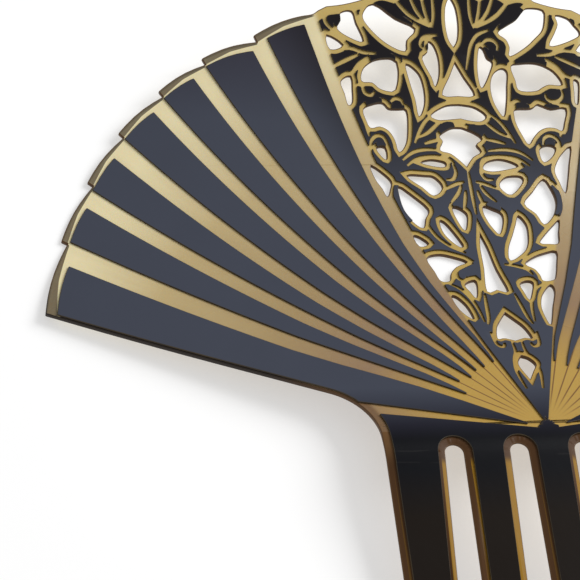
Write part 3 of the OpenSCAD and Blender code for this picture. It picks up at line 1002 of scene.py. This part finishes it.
    def bevel(self, laying: Laying) -> bpy.types.Material:
        """Makes the material of the teeth's worn edges, with painted light and shade: honey on the
        side that faces the lamp and brown on the side that faces away.

        Args:
            laying: How the comb lies in the frame.

        Returns:
            The material.
        """
        s = Shader("amber_bevel")
        across, up = s.pattern_place(laying)
        way = s.node("ShaderNodeNewGeometry", {}, {}).outputs["True Normal"]
        apart = s.node("ShaderNodeSeparateXYZ", {}, {0: way})
        side, along = Value(s, apart.outputs[0]), Value(s, apart.outputs[1])
        # Painted light and shade: honey where the normal turns towards the lamp, brown where it
        # turns away.
        facing = side + (along + self.base_lean) * self.lean_share
        lit = facing.step(*self.lit_edge) * up.step(*self.lit_top)
        colour = s.mix(lit, self.bevel_shade, self.bevel_lit)
        colour = s.mix(s.noise(150, 2) * 0.2, colour, self.line)
        # Painted shade on the bevels farthest from the middle, near the top of the teeth.
        outer = across.size().step(*self.outer_off) * up.step(*self.outer_up)
        colour = s.mix(outer, colour, self.away_side_shade)
        return s.finish(
            {
                "Base Color": colour,
                "Roughness": self.gloss,
                "IOR": self.ior,
                "Specular IOR Level": 0.05,
            }
        )

    def lines(self, angle: Value, radius: Value) -> Value:
        """Draws fine brown lines from the blades' points to the focus.

        Args:
            angle: Angle from the middle line, in degrees.
            radius: Distance from the focus, in millimetres.

        Returns:
            1 on a line and 0 off it.
        """
        total: Value | None = None
        for deg in self.line_deg:
            off = (angle - deg).size() * radius * math.radians(1)
            one = off.step(*self.line_edge)
            total = one if total is None else total.either(one)
        return total

    def edge(self, name: str, laying: Laying, gloss: float) -> bpy.types.Material:
        """Makes the plainer material of the rims or the walls, with painted shade along the wing's
        lower edge.

        Args:
            name: The material's name.
            laying: How the comb lies in the frame.
            gloss: Its roughness.

        Returns:
            The material.
        """
        s = Shader(name)
        across, up = s.pattern_place(laying)
        tint = s.mix(s.noise(90, 3) * 0.5, self.wall, self.line)
        angle = s.pattern_angle(across, up)
        wing = angle.step(*self.wing_angle) * across.size().step(*self.wing_off)
        # Painted shade along the wing's lower edge.
        tint = s.mix(wing * 0.9, tint, self.lower_edge_shade)
        return s.finish(
            {"Base Color": tint, "Roughness": gloss, "IOR": self.ior, "Specular IOR Level": 0.2}
        )


@dataclass(frozen=True)
class BlackFinish:
    """Polished black celluloid facing, with a little wear and fine scuffs. Its tone up the comb is
    a painted reflection of the room: a bluish-grey sheen on the wings, and darker at the top, in
    the panel, on the base and on the teeth.

    Pairs of numbers say where a change starts and ends, in millimetres or degrees.
    """

    # Painted reflection: from the wings' bluish-grey sheen down to the darkest teeth.
    wing: Colour = srgb(66, 70, 82)
    top: Colour = srgb(52, 50, 60)
    panel: Colour = srgb(27, 24, 27)
    neck: Colour = srgb(32, 32, 42)
    base: Colour = srgb(10, 11, 16)
    teeth: Colour = srgb(25, 18, 12)
    scuff: Colour = srgb(120, 116, 112)
    edge_dark: Colour = srgb(46, 44, 44)
    edge_colour: Colour = srgb(84, 70, 46)
    gloss: float = 0.34
    edge_gloss: float = 0.45
    lowest: float = -20.0
    length: float = 140.0
    panel_edge: Span = (26.0, 14.0)
    panel_rise: Span = (58.0, 96.0)
    scuff_edge: Span = (0.66, 0.72)
    scuff_top: Span = (2.0, -4.0)
    scuff_foot: Span = (-14.0, -6.0)

    def face(self, laying: Laying) -> bpy.types.Material:
        """Makes the material of the facing.

        Args:
            laying: How the comb lies in the frame.

        Returns:
            The material.
        """
        s = Shader("black_face")
        across, up = s.pattern_place(laying)
        cloud = s.noise(60, 3)
        scuff = s.noise(900, 4, (0.08, 1, 1)).step(*self.scuff_edge)
        scuff = scuff * up.step(*self.scuff_top) * up.step(*self.scuff_foot)
        # Painted reflection: the tones up the comb stand for the room mirrored in the black, darker
        # where the sheet tilts away.
        stops = [
            (0.0, self.teeth),
            (0.07, self.base),
            (0.12, self.base),
            (0.15, self.neck),
            (0.23, self.wing),
            (0.76, self.wing),
            (0.92, self.top),
        ]
        colour = s.ramp((up - self.lowest) * (1 / self.length), stops)
        # The panel's darker black is painted reflection as well.
        panel = s.pattern_angle(across, up).step(*self.panel_edge) * up.step(*self.panel_rise)
        colour = s.mix(panel, colour, self.panel)
        colour = s.mix(cloud * 0.15, colour, self.base)
        colour = s.mix(scuff * 0.04, colour, self.scuff)
        return s.finish(
            {
                "Base Color": colour,
                "Roughness": cloud * 0.12 + (self.gloss - 0.06),
                "IOR": 1.5,
                "Specular IOR Level": 0.06,
                "Normal": s.bump(s.noise(500, 2), 0.06, 0.0002),
            }
        )

    def edge(self) -> bpy.types.Material:
        """Makes the browner material of the facing's rim."""
        s = Shader("black_edge")
        tint = s.mix(s.noise(200, 2), self.edge_dark, self.edge_colour)
        return s.finish(
            {"Base Color": tint, "Roughness": self.edge_gloss, "Specular IOR Level": 0.2}
        )


# The comb


@dataclass
class Comb:
    """The whole comb: one amber ply and its black facings."""

    bend: SheetBend
    laying: Laying
    amber: AmberFinish = AmberFinish()
    black: BlackFinish = BlackFinish()
    blades: int = 7
    amber_edge_r: float = 0.2 * MM
    black_edge_r: float = 0.12 * MM
    tooth_bevel: float = 0.38 * MM

    def build(self) -> list[bpy.types.Object]:
        """Builds and dresses every piece.

        Returns:
            The pieces.
        """
        sides = ("left", "right")
        names = ["base_facing", "scroll_facing"]
        names += [f"blade_{side}_{n + 1}" for side in sides for n in range(self.blades)]
        pieces = [self.amber_ply()]
        face, edge = self.black.face(self.laying), self.black.edge()
        pieces += [self.facing(name, face, edge) for name in names]
        return pieces

    def facing(
        self, name: str, face: bpy.types.Material, edge: bpy.types.Material
    ) -> bpy.types.Object:
        """Builds and dresses one black facing.

        Args:
            name: Its node.
            face: The material of its faces.
            edge: The material of its rims and walls.

        Returns:
            The piece.
        """
        piece = Plate(
            name=name + "_ply",
            nodes=[name],
            slot="black",
            top=0.0,
            bottom=self.bend.black_t,
            edge_r=self.black_edge_r,
            bend=self.bend,
            laying=self.laying,
            edge_steps=1,
        ).build()
        for skin in (face, edge, edge):
            piece.data.materials.append(skin)
        return piece

    def amber_ply(self) -> bpy.types.Object:
        """Builds and dresses the amber ply.

        Returns:
            The piece.
        """
        piece = Plate(
            name="amber_sheet",
            nodes=["amber_ply"],
            slot="amber",
            top=self.bend.black_t + self.bend.glue_t,
            bottom=self.bend.sheet_t,
            edge_r=self.amber_edge_r,
            bend=self.bend,
            laying=self.laying,
            tooth_bevel=self.tooth_bevel,
        ).build()
        for skin in (
            self.amber.face(self.laying),
            self.amber.edge("amber_rim", self.laying, self.amber.rim_gloss),
            self.amber.edge("amber_wall", self.laying, self.amber.wall_gloss),
            self.amber.bevel(self.laying),
        ):
            piece.data.materials.append(skin)
        return piece


# Floor, light and camera


@dataclass
class Studio:
    """Pale floor, soft light and the camera.

    The camera's place and directions are on the pattern's axes, in metres.
    """

    laying: Laying
    camera_place: tuple[float, float, float] = (-0.23655, -0.42128, 0.44704)
    camera_right: tuple[float, float, float] = (0.96036, -0.20852, 0.18499)
    camera_up: tuple[float, float, float] = (0.01078, 0.69094, 0.72283)
    focal_px: float = 2990.0
    near_clip: float = 0.01
    floor_reach: float = 3.0
    floor_pale: float = 0.57
    floor_glow: float = 0.45
    room_light: float = 0.5
    key_place: tuple[float, float, float] = (0.9, 0.4, 0.9)
    key_size: float = 0.8
    key_watts: float = 16.0

    def camera(self) -> bpy.types.Object:
        """Places the camera at the photo's angle.

        Returns:
            The camera.
        """
        data = bpy.data.cameras.new("camera")
        data.sensor_width = SENSOR_MM
        data.lens = self.focal_px / IMAGE_PX * SENSOR_MM
        data.clip_start = self.near_clip
        right = Vector(self.camera_right).normalized()
        up = Vector(self.camera_up)
        up = (up - right * up.dot(right)).normalized()
        back = right.cross(up)
        pose = Matrix((right, up, back)).transposed().to_4x4()
        pose.translation = Vector(self.camera_place)
        made = bpy.data.objects.new("camera", data)
        bpy.context.collection.objects.link(made)
        made.matrix_world = self.laying.matrix @ pose
        bpy.context.scene.camera = made
        return made

    def floor(self) -> bpy.types.Object:
        """Lays a wide pale floor just under the comb.

        Returns:
            The floor.
        """
        bm = bmesh.new()
        bmesh.ops.create_grid(bm, x_segments=1, y_segments=1, size=self.floor_reach)
        mesh = bpy.data.meshes.new("floor")
        bm.to_mesh(mesh)
        bm.free()
        made = bpy.data.objects.new("floor", mesh)
        bpy.context.collection.objects.link(made)
        finish = {
            "Base Color": (self.floor_pale, self.floor_pale, self.floor_pale, 1),
            "Roughness": 0.9,
            "Specular IOR Level": 0.1,
            "Emission Color": (1, 1, 1, 1),
            "Emission Strength": self.floor_glow,
        }
        mesh.materials.append(Shader("pale_floor").finish(finish))
        return made

    def light(self) -> None:
        """Sets the soft light: an even pale room and a broad lamp at the upper right."""
        world = bpy.data.worlds.new("room")
        bpy.context.scene.world = world
        world.use_nodes = True
        room = world.node_tree.nodes["Background"].inputs
        room[0].default_value = (1, 1, 1, 1)
        room[1].default_value = self.room_light
        bpy.context.scene.view_settings.view_transform = "Standard"
        data = bpy.data.lights.new("key", "AREA")
        data.shape = "SQUARE"
        data.size = self.key_size
        data.energy = self.key_watts
        lamp = bpy.data.objects.new("key", data)
        place = Vector(self.key_place)
        lamp.location = place
        lamp.rotation_euler = (-place).to_track_quat("-Z", "Y").to_euler()
        bpy.context.collection.objects.link(lamp)


def main() -> None:
    """Builds the comb, the floor, the light and the camera."""
    logging.basicConfig(level=logging.INFO, format="%(message)s")
    bend = SheetBend()
    laying = Laying(bend, CAD_BOX[0][1])
    studio = Studio(laying)
    studio.camera()
    studio.floor()
    studio.light()
    pieces = Comb(bend, laying).build()
    log.info("pieces: %d", len(pieces))


if __name__ == "__main__":
    main()
